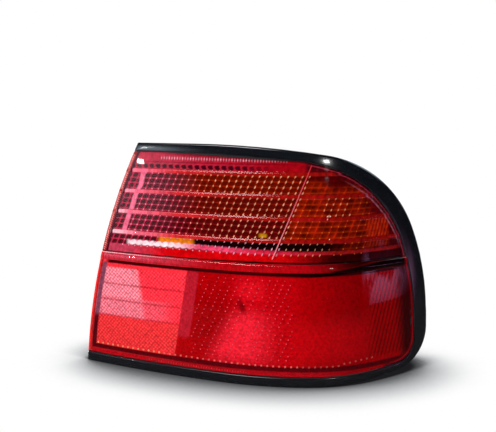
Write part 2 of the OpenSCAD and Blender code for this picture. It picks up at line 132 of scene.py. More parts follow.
join(white_board, board_painted_shadow.outputs["AO"], board_shade.inputs[0])
join(white_board, board_shade.outputs[0], board_glow.inputs["Color"])
join(white_board, board_rays.outputs["Is Glossy Ray"], board_base.inputs[0])
join(white_board, board_base.outputs[0], board_shader.inputs["Base Color"])
join(white_board, board_rays.outputs["Is Camera Ray"], board_seen.inputs[0])
join(white_board, board_shader.outputs[0], board_seen.inputs[1])
join(white_board, board_glow.outputs[0], board_seen.inputs[2])
join(white_board, board_seen.outputs[0], output_of(white_board))
floor_mesh.materials.append(white_board)


# Studio
# White to the eye and dark in reflections. Soft boxes stand to the left, above, to the right, behind
# and past the inboard end, and two small bright lamps draw the white sparks on the polished faces.
world = bpy.data.worlds.new("studio")
bpy.context.scene.world = world
world.use_nodes = True
studio = world.node_tree
room = studio.nodes["Background"]
room.inputs["Color"].default_value = (0.42, 0.42, 0.43, 1)
dark_room = studio.nodes.new("ShaderNodeBackground")
dark_room.inputs["Color"].default_value = (0.008, 0.010, 0.013, 1)
backdrop = studio.nodes.new("ShaderNodeBackground")
backdrop.inputs["Color"].default_value = (1, 1, 1, 1)
sight = studio.nodes.new("ShaderNodeLightPath")
mirrored = studio.nodes.new("ShaderNodeMixShader")
either = studio.nodes.new("ShaderNodeMixShader")
studio.links.new(sight.outputs["Is Glossy Ray"], mirrored.inputs[0])
studio.links.new(room.outputs[0], mirrored.inputs[1])
studio.links.new(dark_room.outputs[0], mirrored.inputs[2])
studio.links.new(sight.outputs["Is Camera Ray"], either.inputs[0])
studio.links.new(mirrored.outputs[0], either.inputs[1])
studio.links.new(backdrop.outputs[0], either.inputs[2])
studio.links.new(either.outputs[0], studio.nodes["World Output"].inputs[0])


def aimed(thing, place, aim):
    """Puts a lamp or a board at its place, turned to what it lights"""
    thing.location = place
    thing.rotation_euler = (Vector(aim) - Vector(place)).to_track_quat("-Z", "Y").to_euler()
    bpy.context.collection.objects.link(thing)


def lamp(name, place, aim, size, strength, mirrored_too=False):
    """A light whose strength is its own brightness; a round one shows in reflections too"""
    data = bpy.data.lights.new(name, "AREA")
    data.shape = "ELLIPSE" if mirrored_too else "RECTANGLE"
    data.size, data.size_y = size
    data.energy = strength * math.pi * size[0] * size[1]
    light = bpy.data.objects.new(name, data)
    light.visible_glossy = mirrored_too
    light.visible_transmission = False
    aimed(light, place, aim)


def soft_box(name, place, aim, size, strength, tint, patchy=False):
    """A glowing board that fades towards its edges, for reflections"""
    mesh = board_mesh(name, size[0] / 2, size[1] / 2, 0)
    board = bpy.data.objects.new(name, mesh)
    glow = material(name)[0]
    place_on = add_node(glow, "ShaderNodeTexCoord")
    centred = add_node(glow, "ShaderNodeVectorMath", operation="MULTIPLY_ADD")
    centred.inputs[1].default_value = (2, 2, 0)
    centred.inputs[2].default_value = (-1, -1, 0)
    reach = add_node(glow, "ShaderNodeVectorMath", operation="LENGTH")
    fade = add_node(glow, "ShaderNodeMapRange", interpolation_type="SMOOTHSTEP")
    fade.inputs["From Min"].default_value = 1.0
    fade.inputs["From Max"].default_value = 0.15
    fade.inputs["To Max"].default_value = strength
    light = add_node(glow, "ShaderNodeEmission")
    light.inputs["Color"].default_value = (*tint, 1)
    join(glow, place_on.outputs["Generated"], centred.inputs[0])
    join(glow, centred.outputs[0], reach.inputs[0])
    join(glow, reach.outputs["Value"], fade.inputs["Value"])
    join(glow, fade.outputs[0], light.inputs["Strength"])
    join(glow, light.outputs[0], output_of(glow))
    if patchy:
        patches = add_node(glow, "ShaderNodeTexNoise")
        patches.inputs["Scale"].default_value = 4.5
        patches.inputs["Detail"].default_value = 3
        patch_tint = ramp_of(glow, [(0.47, tuple(0.08 * c for c in tint)), (0.54, tint)])
        join(glow, place_on.outputs["Object"], patches.inputs["Vector"])
        join(glow, patches.outputs["Fac"], patch_tint.inputs[0])
        join(glow, patch_tint.outputs[0], light.inputs["Color"])
    mesh.materials.append(glow)
    aimed(board, place, aim)
    board.visible_camera = False
    board.visible_transmission = False
    board.visible_shadow = False


lamp_middle = (0.03, -0.06, 0.0)
lamp("overhead", (0.1, -0.6, 1.3), lamp_middle, (1.6, 1.2), 4.2)
lamp("front_left", (-0.9, -1.6, 0.5), lamp_middle, (1.0, 1.0), 8.0)
lamp("front_right", (1.5, -0.8, 0.6), lamp_middle, (0.8, 0.9), 2.6)
lamp("behind", (0.2, 1.4, 0.9), lamp_middle, (1.4, 0.9), 2.5)
soft_box("left_box", (-1.35, -1.5, 0.62), (-0.07, -0.06, 0.05), (1.5, 1.1), 1.15, (0.68, 0.84, 1.0))
soft_box("top_box", (-0.3, -0.6, 1.35), lamp_middle, (1.5, 0.8), 7.0, (1.0, 0.97, 1.0))
soft_box("right_box", (1.30, 0.52, 0.0), (0.175, 0.03, 0.0), (0.80, 0.36), 1.8, (0.90, 0.40, 0.80),
         patchy=True)
soft_box("back_box", (0.5, 1.5, 1.0), lamp_middle, (1.6, 1.0), 1.3, (0.75, 0.88, 1.0))
soft_box("edge_box", (-1.4, 0.25, 0.0), (-0.12, -0.04, 0.0), (1.4, 1.2), 9.0, (0.85, 0.92, 1.0))
lamp("corner_spark", (1.385, -0.605, 0.66), (0.131, -0.011, 0.09), (0.13, 0.032), 240, mirrored_too=True)
lamp("inboard_spark", (-1.01, -1.233, 0.626), (-0.063, -0.057, 0.098), (0.055, 0.024), 90, mirrored_too=True)


# Form of the lamp
# All the outer pieces follow one surface. In plan it is four arcs that meet smoothly, for the
# tail panel, the shoulder, the corner and the side; upright it is one long arc that leans in.
mount = Vector((90, 86, 105))
corner_r = 113
shoulder_r = corner_r + 7 * 17
tail_r = shoulder_r + 8 * 85
side_r = corner_r + 26 * 13
plan_r = np.array([tail_r, shoulder_r, corner_r, side_r], float)
plan_c = np.array([[0, tail_r], [104, tail_r - 672], [160, tail_r - 777], [-152, tail_r - 647]], float)
plan_turn = np.radians([-90, math.degrees(math.atan2(13, 84)), math.degrees(math.atan2(8, 15)),
                        math.degrees(math.atan2(12, 5)), 180])
crown_r = 960
crown_lean = math.radians(2)
draw_turn = math.radians(33)
draw_axis = np.array([math.cos(draw_turn), math.sin(draw_turn)])


def crown(z):
    """How far the lens leans in at a height"""
    return crown_r * math.cos(crown_lean) - np.sqrt(crown_r ** 2 - (z + crown_r * math.sin(crown_lean)) ** 2)


def on_lamp(u, z, depth):
    """Points of the lamp, in metres, from the sideways and upright places in the front view and the depth"""
    u, z, depth = np.broadcast_arrays(np.asarray(u, float), np.asarray(z, float), np.asarray(depth, float))
    x, y = np.zeros(u.shape), np.zeros(u.shape)
    for i in range(4):
        r = plan_r[i] - crown(z) - depth
        heading = draw_turn + np.arcsin(np.clip((u - plan_c[i] @ draw_axis) / r, -1, 1))
        here = (heading >= plan_turn[i]) & (heading < plan_turn[i + 1])
        x = np.where(here, plan_c[i][0] + r * np.sin(heading), x)
        y = np.where(here, plan_c[i][1] - r * np.cos(heading), y)
    return (np.stack([x, y, z], -1) - np.array(mount)) * mm


def arc_chain(start, heading, arcs, grow=0.0, step=1.5):
    """Points along tangent arcs in the front view, each a radius and the angle in degrees that it turns"""
    heading = math.radians(heading)
    out = np.array([math.sin(heading), math.cos(heading)])
    centre = np.array(start, float) - arcs[0][0] * out
    points = []
    for k, (r, turn) in enumerate(arcs):
        turn = math.radians(turn)
        n = max(2, math.ceil(turn * 180 / math.pi / step))
        for i in range(n + 1):
            a = heading + turn * i / n
            if i or not k:
                points.append(centre + (r + grow) * np.array([math.sin(a), math.cos(a)]))
        heading += turn
        if k + 1 < len(arcs):
            centre = centre + (r - arcs[k + 1][0]) * np.array([math.sin(heading), math.cos(heading)])
    return points


lens_h = 213
rim_above = 8.6
rim_below = 9.5
inboard_r = 646.4
inboard_c = np.array([624.4, -44.1])
inboard_steps = 40


def outline(top, upper, lower, foot, grow=0.0):
    """Top and outboard edge, foot, and inboard edge of an outline in the front view, as two paths"""
    over = arc_chain(top, 0, upper, grow)
    probe = arc_chain((0, 0), 90, lower)
    side_x = arc_chain(top, 0, upper)[-1][0]
    under = arc_chain((side_x, foot - probe[-1][1]), 90, lower, grow)
    r = inboard_r + grow
    low = math.asin((foot - grow - inboard_c[1]) / r)
    high = math.asin((top[1] + grow - inboard_c[1]) / r)
    turns = np.linspace(low, high, inboard_steps)
    inboard = [inboard_c + r * np.array([-math.cos(a), math.sin(a)]) for a in turns]
    return over + under, inboard


def lens_outline(grow=0.0):
    upper = [(1380, 6.2), (120, 64.2), (251, 19.6)]
    lower = [(22, 86), (1170, 4)]
    return outline((56.3, lens_h), upper, lower, 0, grow)


def rim_outline(grow=0.0):
    upper = [(831, 9), (120, 59.6), (239, 21.4)]
    lower = [(36.5, 83), (800, 7)]
    return outline((96.5, lens_h + rim_above), upper, lower, -rim_below, grow)


def along(path, share):
    """Points at even shares of a path's length"""
    path = np.array(path)
    run = np.concatenate([[0], np.cumsum(np.linalg.norm(np.diff(path, axis=0), axis=1))])
    return np.stack([np.interp(share * run[-1], run, path[:, k]) for k in (0, 1)], -1)


def cut_at(path, z):
    """Splits a falling path where it passes a height"""
    path = np.array(path)
    k = int(np.argmax(path[:, 1] < z))
    a, b = path[k - 1], path[k]
    there = a + (b - a) * (a[1] - z) / (a[1] - b[1])
    return np.vstack([path[:k], there]), np.vstack([there, path[k:]])


def piece(name, points, faces, finish, smooth=True):
    """A mesh piece that rides on the lamp"""
    mesh = bpy.data.meshes.new(name)
    mesh.from_pydata([tuple(p) for p in points], [], faces)
    mesh.update()
    made = bpy.data.objects.new(name, mesh)
    bpy.context.collection.objects.link(made)
    mesh.materials.append(finish)
    mesh.polygons.foreach_set("use_smooth", [smooth] * len(mesh.polygons))
    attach(made, "root")
    return made


# Housing
# The lamp's body is one black moulding: a finely grained tub, and in front of it the polished rim
# that frames the lenses on top, outboard and below, rounded off along its edges and at its ends.
def grained(name, low, high, rough, scale, metal=0.0, clear=0.0, relief=0.0):
    """A finish whose tone and sheen vary with a fine grain"""
    made, shader = material(name)
    shader.inputs["Metallic"].default_value = metal
    shader.inputs["Transmission Weight"].default_value = clear
    place_on = add_node(made, "ShaderNodeTexCoord")
    grain = add_node(made, "ShaderNodeTexNoise")
    grain.inputs["Scale"].default_value = scale
    grain.inputs["Detail"].default_value = 6
    tone = ramp_of(made, [(0.3, low), (0.7, high)])
    sheen = add_node(made, "ShaderNodeMapRange")
    sheen.inputs["To Min"].default_value = rough * 0.75
    sheen.inputs["To Max"].default_value = rough * 1.25
    join(made, place_on.outputs["Object"], grain.inputs["Vector"])
    join(made, grain.outputs["Fac"], tone.inputs[0])
    join(made, tone.outputs[0], shader.inputs["Base Color"])
    join(made, grain.outputs["Fac"], sheen.inputs["Value"])
    join(made, sheen.outputs[0], shader.inputs["Roughness"])
    if relief:
        lift = add_node(made, "ShaderNodeBump")
        lift.inputs["Strength"].default_value = relief
        lift.inputs["Distance"].default_value = 0.0004
        join(made, grain.outputs["Fac"], lift.inputs["Height"])
        join(made, lift.outputs[0], shader.inputs["Normal"])
    return made


def dress(node, finish):
    """Gives a built piece its finish"""
    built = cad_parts[node].data
    built.materials.clear()
    built.materials.append(finish)


tub_black = grained("tub_black", (0.010, 0.0105, 0.0115), (0.022, 0.023, 0.025), 0.36, 900, relief=0.25)
rim_black, rim_shader = material("rim_black")
rim_shader.inputs["Roughness"].default_value = 0.17
rim_shader.inputs["Specular IOR Level"].default_value = 1.0
rim_shader.inputs["Coat Weight"].default_value = 1.0
rim_shader.inputs["Coat Roughness"].default_value = 0.09
rim_grain = add_node(rim_black, "ShaderNodeTexNoise")
rim_grain.inputs["Scale"].default_value = 90
rim_tone = ramp_of(rim_black, [(0.3, (0.0016, 0.0020, 0.0028)), (0.7, (0.0035, 0.0042, 0.0058))])
join(rim_black, rim_grain.outputs["Fac"], rim_tone.inputs[0])
join(rim_black, rim_tone.outputs[0], rim_shader.inputs["Base Color"])
dress("housing", tub_black)

rim_w = 12
rim_proud = 0.25
rim_round = 2.2
rim_inner_round = 1.1
rim_inner_share = 0.09
rim_side = 9.0
rim_steps = 500
rim_end_steps = 5
rim_end_run = 1.4
rim_end_drop = 1.6


def rim_line(over, inboard):
    """Evenly spaced points from the top inboard corner, over and under, to the bottom inboard corner"""
    return along([inboard[-1]] + over + [inboard[0]], np.linspace(0, 1, rim_steps))


inner_line = rim_line(*lens_outline(0.6))
outer_line = rim_line(*rim_outline(rim_proud))
rim_points, rim_faces = [], []
rim_section = [(rim_inner_share * (1 - math.cos(a)), rim_inner_round * (1 - math.sin(a)) - rim_proud)
               for a in np.linspace(0, math.pi / 2, 6)]
rim_section += [(1 - rim_round / rim_w * (1 - math.sin(a)), rim_round * (1 - math.cos(a)) - rim_proud)
                for a in np.linspace(0, math.pi / 2, 9)]
rim_section += [(1.0, rim_side)]
rim_turn = np.linspace(0, math.pi / 2, rim_end_steps)
rim_end = np.zeros(rim_steps)
rim_end[:rim_end_steps] = 1 - np.sin(rim_turn)
rim_end[-rim_end_steps:] = rim_end[:rim_end_steps][::-1]
for t, depth in rim_section:
    at = inner_line + (outer_line - inner_line) * t
    first, last = rim_end_run * (at[1] - at[0]), rim_end_run * (at[-2] - at[-1])
    at[:rim_end_steps] = at[0] + first * (1 - np.cos(rim_turn))[:, None]
    at[-rim_end_steps:] = at[-1] + last * (1 - np.cos(rim_turn))[::-1, None]
    rim_points.append(on_lamp(at[:, 0], at[:, 1], depth + rim_end_drop * rim_end))
for i in range(rim_steps - 1):
    for k in range(len(rim_points) - 1):
        a = k * rim_steps + i
        rim_faces.append((a, a + rim_steps, a + rim_steps + 1, a + 1))
rim = piece("rim", np.concatenate(rim_points), rim_faces, rim_black)


# Clear faces of the lenses
# Two acrylic mouldings, one above the other. Each has a smooth polished face, with raised beads
# across it, and is turned back at its edge into the skirt that is bonded into the housing. Only the
# face with its beads is built here, and the moulding itself is hidden.
split_z = 108.5
split_gap = 0.5
lens_t = 3
rib_z = 130
rib_pitch = 21.3
rib_high = 1.4
rib_half = 1.9
rib_count = 4
bead_high = 2.5
bead_half = 3.9
bead_below = 4.4
pillow_w = 6.85
pillow_h = rib_pitch / 4
pillow_lean = 0.43


def lens_grid(upper, inset, across, up):
    """Even grid over one lens in the front view: its places sideways and upright"""
    over, inboard = lens_outline(-inset)
    s = np.linspace(0, 1, across + 1)[:, None, None]
    t = np.linspace(0, 1, up + 1)[None, :, None]
    joint_z = split_z + (split_gap / 2 + inset if upper else -split_gap / 2 - inset)
    left_low, left_high = (joint_z, lens_h - inset) if upper else (inset, joint_z)
    far = cut_at(over, joint_z)[0 if upper else 1]
    edge_z = np.linspace(left_low, left_high, up + 1)
    edge_u = np.interp(edge_z, [p[1] for p in inboard], [p[0] for p in inboard])
    if upper:
        rail = np.vstack([[edge_u[-1], left_high], far])
        base = np.array([[edge_u[0], joint_z], [far[-1][0], joint_z]])
        low, high = along(base, s[:, 0, 0]), along(rail, s[:, 0, 0])
    else:
        rail = np.vstack([[edge_u[0], left_low], far[::-1]])
        base = np.array([[edge_u[-1], joint_z], [far[0][0], joint_z]])
        low, high = along(rail, s[:, 0, 0]), along(base, s[:, 0, 0])
    spread = low[:, None, :] + (high - low)[:, None, :] * t
    bulge = np.stack([edge_u, edge_z], -1) - spread[0]
    return spread + (1 - s) ** 6 * bulge[None, :, :]


def bump(x):
    """Round-topped swell over each unit of x, from 0 at its ends to 1 in its middle"""
    part = x - np.floor(x)
    return 1 - (2 * part - 1) ** 2


def ease(x, low, high):
    """0 up to one value and 1 from another on, with a smooth rise between"""
    part = np.clip((x - low) / (high - low), 0, 1)
    return part * part * (3 - 2 * part)


def within(x, low, high, soft):
    """1 between two values and 0 outside them, with soft ends"""
    return ease(x, low - soft / 2, low + soft / 2) * (1 - ease(x, high - soft / 2, high + soft / 2))


def grid_faces(across, up):
    """Faces between the points of a grid, column by column"""
    column = up + 1
    return [(a, a + column, a + column + 1, a + 1)
            for i in range(across) for a in range(i * column, i * column + up)]


clear_acrylic, clear_shader = material("clear_acrylic")
clear_shader.inputs["Transmission Weight"].default_value = 1.0
clear_shader.inputs["IOR"].default_value = 1.45
clear_shader.inputs["Base Color"].default_value = (1.0, 0.9, 0.9, 1)
clear_rays = add_node(clear_acrylic, "ShaderNodeLightPath")
clear_open = add_node(clear_acrylic, "ShaderNodeBsdfTransparent")
clear_either = add_node(clear_acrylic, "ShaderNodeMixShader")
clear_haze = add_node(clear_acrylic, "ShaderNodeTexNoise")
clear_haze.inputs["Scale"].default_value = 220
clear_rough = add_node(clear_acrylic, "ShaderNodeMapRange")
clear_rough.inputs["To Min"].default_value = 0.02
clear_rough.inputs["To Max"].default_value = 0.04
join(clear_acrylic, clear_haze.outputs["Fac"], clear_rough.inputs["Value"])
join(clear_acrylic, clear_rough.outputs[0], clear_shader.inputs["Roughness"])
join(clear_acrylic, clear_rays.outputs["Is Shadow Ray"], clear_either.inputs[0])
join(clear_acrylic, clear_shader.outputs[0], clear_either.inputs[1])
join(clear_acrylic, clear_open.outputs[0], clear_either.inputs[2])
join(clear_acrylic, clear_either.outputs[0], output_of(clear_acrylic))


face_size = (220, 200)


def clear_face(name, node, upper, relief):
    """The smooth front of one lens, with its raised beads"""
    grid = lens_grid(upper, 0, *face_size)
    points = on_lamp(grid[..., 0], grid[..., 1], -relief(grid[..., 1])).reshape(-1, 3)
    made = piece(name, points, grid_faces(*face_size), clear_acrylic)
    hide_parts(node)


def upper_relief(z):
    return sum(rib_high * np.clip(1 - np.abs(z - rib_z - k * rib_pitch) / rib_half, 0, 1) ** 0.7
               for k in range(rib_count))


def lower_relief(z):
    return bead_high * np.sqrt(np.clip(1 - ((z - split_z + bead_below) / bead_half) ** 2, 0, 1))


clear_face("upper_lens_face", "lens_upper", True, upper_relief)
clear_face("lower_lens_face", "lens_lower", False, lower_relief)


# Optics of the upper lens
# The inside of the upper lens is moulded in rows of small pillows between smooth bands. Its colour
# holds the amber inner lens behind it in paint, is painted dark where there is nothing but the chamber
# behind it, and carries painted highlights and reflections.
def optic(name, coarse):
    """Coloured acrylic: the laid colour is the moulding's red, what lies behind it, and painted light and
    shade; the prisms add a fine grain
    """
    made, shader = material(name)
    shader.inputs["Roughness"].default_value = 0.3
    shader.inputs["Specular IOR Level"].default_value = 0.0
    laid = add_node(made, "ShaderNodeAttribute", attribute_name="tint")
    prisms = add_node(made, "ShaderNodeAttribute", attribute_name="prisms")
    sideways = add_node(made, "ShaderNodeVectorMath", operation="DOT_PRODUCT")
    sideways.inputs[1].default_value = (math.cos(draw_turn), math.sin(draw_turn), 0)
    upright = add_node(made, "ShaderNodeSeparateXYZ")
    front = add_node(made, "ShaderNodeCombineXYZ")
    slanting = add_node(made, "ShaderNodeMapping")
    slanting.inputs["Rotation"].default_value = (0, 0, math.radians(38))
    cells = add_node(made, "ShaderNodeTexVoronoi", voronoi_dimensions="2D")
    cells.inputs["Scale"].default_value = 360
    cells.inputs["Randomness"].default_value = 0.2
    cell_tone = ramp_of(made, [(0.10, (1.15, 2.3, 2.3)), (0.60, (0.82, 0.45, 0.45))])
    grain = add_node(made, "ShaderNodeTexNoise")
    grain.inputs["Scale"].default_value = coarse
    grain.inputs["Detail"].default_value = 5
    grain_tone = ramp_of(made, [(0.3, (0.72, 0.72, 0.72)), (0.7, (1.28, 1.28, 1.28))])
    place_on = add_node(made, "ShaderNodeTexCoord")
    mottled = add_node(made, "ShaderNodeMix", data_type="RGBA", blend_type="MULTIPLY")
    mottled.inputs[0].default_value = 1.0
    celled = add_node(made, "ShaderNodeMix", data_type="RGBA", blend_type="MULTIPLY")
    join(made, place_on.outputs["Object"], sideways.inputs[0])
    join(made, place_on.outputs["Object"], upright.inputs[0])
    join(made, sideways.outputs["Value"], front.inputs[0])
    join(made, upright.outputs["Z"], front.inputs[1])
    join(made, front.outputs[0], slanting.inputs["Vector"])
    join(made, slanting.outputs[0], cells.inputs["Vector"])
    join(made, place_on.outputs["Object"], grain.inputs["Vector"])
    join(made, grain.outputs["Fac"], grain_tone.inputs[0])
    join(made, cells.outputs["Distance"], cell_tone.inputs[0])
    join(made, laid.outputs["Color"], mottled.inputs[6])
    join(made, grain_tone.outputs[0], mottled.inputs[7])
    join(made, prisms.outputs["Fac"], celled.inputs[0])
    join(made, mottled.outputs[2], celled.inputs[6])
    join(made, cell_tone.outputs[0], celled.inputs[7])
    join(made, celled.outputs[2], shader.inputs["Base Color"])
    return made


def lay(made, name, values):
    """Puts a value or a colour on each point of a piece"""
    if values.ndim == 1:
        made.data.attributes.new(name, "FLOAT", "POINT").data.foreach_set("value", values.astype(np.float32))
    else:
        full = np.concatenate([values, np.ones((len(values), 1))], 1).astype(np.float32)
        made.data.attributes.new(name, "FLOAT_COLOR", "POINT").data.foreach_set("color", full.ravel())


def blend(one, other, share):
    """One colour passing into another, or a colour laid over what is there"""
    share = np.clip(share, 0, 1)[..., None]
    return np.asarray(one, float) * (1 - share) + np.asarray(other, float) * share


def from_edge(u, z, path):
    """Distance from a path in the front view"""
    path = np.array(path)
    length = np.linalg.norm(np.diff(path, axis=0), axis=1).sum()
    near = np.full(u.shape, np.inf)
    for p in along(path, np.linspace(0, 1, int(length))):
        near = np.minimum(near, (u - p[0]) ** 2 + (z - p[1]) ** 2)
    return np.sqrt(near)


edge_over, edge_inboard = lens_outline()
edge_inboard = np.array(edge_inboard)


def inboard_edge(z):
    """Sideways place of the inboard edge at a height"""
    return np.interp(z, edge_inboard[:, 1], edge_inboard[:, 0])


def from_inboard(u, z):
    return u - inboard_edge(z)


pillow_first_u = 4.2
pillow_first_z = 2.66
bead_foot_u = 124.8
crest_z = 195
crest_tick_h = 5.6
post_z = [133, 149, 156, 168, 179, 192]
post_u = [22.1, 27.5, 30.6, 34.0, 40.0, 42.5]


def upper_cells(u, z):
    """Places among the columns and rows of the pillows, whole where four pillows meet"""
    col = (u - pillow_lean * z - pillow_first_u) / pillow_w
    row = (z - rib_z - pillow_first_z) / pillow_h
    return col, row


def upper_tint_and_painted_light(u, z):
    """Colours of the upper lens, painted light and shade among them, at places in the front view, each laid
    over the ones before
    """
    from_end = from_inboard(u, z)
    from_rim = from_edge(u, z, edge_over)
    past_bead = u - pillow_lean * z - bead_foot_u
    col, row = upper_cells(u, z)
    square = ease(bump(col) * bump(row), 0.12, 0.5)
    painted_inboard_haze = 1 - ease(u, 20, 120)
    right = ease(past_bead, -1, 3)
    amber = ease(u, 58, 100) * (0.35 + 0.30 * ease(z, 146, 156) + 0.35 * ease(z, 168, 178))
    amber = np.maximum(amber, 0.85 * right) * (1 - ease(u, 262, 285))
    tint = blend((0.16, 0.0008, 0.005), (0.30, 0.0105, 0.0002), amber)
    murk = 1 + 0.55 * np.sin(u / 4.5 + z / 6) * np.sin(u / 9 - z / 4) * right
    tint = tint * (murk * (1 + 0.35 * right))[..., None]
    tint = tint * (1 - 0.62 * square * (1 - 0.15 * right))[..., None]
    tint = blend(tint, (0.42, 0.030, 0.0008), 0.5 * right * (1 - bump(row)) ** 1.5)
    # Painted reflection: a pink haze over the lines between pillows towards the inboard end.
    tint = blend(tint, (0.66, 0.020, 0.085), 0.75 * painted_inboard_haze * (1 - square))
    tint = blend(tint, (0.085, 0.0004, 0.0008), right * ease(z + 0.12 * u + 3 * np.sin(u / 6), 203, 216))
    tint = blend(tint, (0.12, 0.001, 0.003), ease(u, 262, 280))
    flutes = within(u, 266, 290, 4) * within(z, 122, 150, 5)
    tint = blend(tint, (0.58, 0.026, 0.003), flutes * bump((u - 0.3 * z) / 3.6))
    lower = within(z, 120.5, 128.6, 0.6)
    tint = blend(tint, (0.006, 0.0002, 0.0004), lower * ease(u, 92, 96) * (1 - 0.6 * ease(u, 225, 250)))
    tint = blend(tint, (0.78, 0.24, 0.008), within(z, 121.5, 128.4, 1) * within(u, 60, 96, 6) * 0.9)
    tint = blend(tint, (0.72, 0.36, 0.004), 0.8 * within(z, 133, 136.5, 2) * within(u, 161, 168, 3))
    # Ribs: a painted pink-white highlight at the inboard end, fading outboard into their own red and darker
    # red.
    rib_red_and_highlight = blend((1.0, 0.80, 0.90), (0.90, 0.16, 0.24), ease(u, -5, 40))
    rib_red_and_highlight = blend(rib_red_and_highlight, (0.62, 0.020, 0.024), ease(u, 35, 85))
    rib_red_and_highlight = blend(rib_red_and_highlight, (0.36, 0.005, 0.004), ease(u, 80, 150))
    rib_red_and_highlight = blend(rib_red_and_highlight, (0.30, 0.004, 0.002), ease(u, 190, 280))
    for k in range(rib_count):
        over = 1 - ease(np.abs(z - rib_z - k * rib_pitch + 0.4), 0.7, rib_half)
        tint = blend(tint, rib_red_and_highlight, over)
    # Painted highlight: a pink line along the post.
    post_highlight = 1 - ease(np.abs(u - np.interp(z, post_z, post_u)), 2.0, 3.2)
    tint = blend(tint, (0.90, 0.16, 0.28), post_highlight * within(z, 131, crest_z, 1))
    crest = ease(z, crest_z - 0.4, crest_z + 0.4)
    top = blend((0.50, 0.022, 0.055), (0.40, 0.002, 0.008), ease(u, 60, 190))
    top = blend(top, (0.10, 0.002, 0.006), ease(u, 203, 209))
    tick = bump(col - 0.15 * np.sin(z)) * bump((z - crest_z - 0.6) / crest_tick_h)
    mark = ease(tick, 0.30, 0.55) * (1 - ease(z, 200.8, 201.4))
    tint = blend(tint, top, crest)
    tint = blend(tint, (0.055, 0.001, 0.008), mark * crest * (1 - ease(u, 140, 195)))
    tint = blend(tint, (0.12, 0.001, 0.008), within(z, 202, 203.2, 0.5) * (1 - ease(u, 190, 205)) * 0.6)
    swell = 1.7 + 1.4 * bump(col)
    scallop_z = np.interp(u, [22, 97, 152, 200, 260], [119.8, 120.3, 119.0, 117.5, 118])
    scallop = 1 - ease(np.abs(z - scallop_z) / swell, 0.6, 1.1)
    # Scallops: a painted pink-white highlight at the inboard end, fading outboard into their own red and then
    # dark.
    scallop_red_and_highlight = blend((1.0, 0.82, 0.88), (0.86, 0.07, 0.18), ease(u, 72, 104))
    scallop_red_and_highlight = blend(scallop_red_and_highlight, (0.66, 0.02, 0.06), ease(u, 120, 165))
    scallop_red_and_highlight = blend(scallop_red_and_highlight, (0.30, 0.008, 0.008), ease(u, 170, 240))
    tint = blend(tint, scallop_red_and_highlight, scallop * within(u, 26, 300, 5))
    plain = 1 - ease(z, 116.4, 117.4)
    floor_tint = blend((0.52, 0.05, 0.10), (0.60, 0.001, 0.003), ease(u, 15, 75))
    floor_tint = blend(floor_tint, (0.035, 0.0002, 0.0004), ease(u, 175, 235))
    tint = blend(tint, floor_tint, plain)
    tint = blend(tint, (0.01, 0.0, 0.0003), (1 - ease(z, 109.3, 110.4)) * ease(u, 90, 150))
    edge_line = blend((0.075, 0.001, 0.004), (0.36, 0.025, 0.05), within(from_rim, 2.0, 3.2, 0.8))
    tint = blend(tint, edge_line, (1 - ease(from_rim, 3.4, 5)) * ease(u, 206, 216))
    gleam = within(from_rim - 0.03 * (z - 150), 5.0, 6.4, 0.9) * within(z, 126, 180, 22) * ease(u, 235, 250)
    tint = blend(tint, (0.46, 0.13, 0.20), 0.75 * gleam)
    tint = blend(tint, (0.05, 0.001, 0.007), within(from_end, 4.6, 7.2, 1.2))
    tint = blend(tint, (0.26, 0.010, 0.012), 1 - ease(from_end, 3.8, 4.8))
    return tint


optic_size = (440, 185)
optic_inset = 0.3
upper_red = optic("upper_red", 260)
upper_grid = lens_grid(True, optic_inset, *optic_size)
upper_u, upper_z = upper_grid[..., 0], upper_grid[..., 1]
upper_col, upper_row = upper_cells(upper_u, upper_z)
upper_field = within(upper_z, 118, 196, 2) * ease(from_inboard(upper_u, upper_z), 8, 10)
upper_depth = lens_t + upper_field * 0.8 * bump(upper_col) * bump(upper_row)
upper_optic = piece("upper_lens_optics", on_lamp(upper_u, upper_z, upper_depth).reshape(-1, 3),
                    grid_faces(*optic_size), upper_red)
lay(upper_optic, "tint", upper_tint_and_painted_light(upper_u.ravel(), upper_z.ravel()))
lay(upper_optic, "prisms", np.zeros(upper_u.size))
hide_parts("lens_upper")


# Optics of the lower lens
# Fine reflex prisms at the inboard end, then small pillows over the stop bulb, a plain part round
# the corner and leaning flutes at the side marker.
reflex_lean = 0.155
small_pillow_w = 7.1
small_pillow_h = 4.0
small_pillow_lean = 0.45
small_pillow_first_u = 2
flute_w = 4.2
flute_lean = 0.28


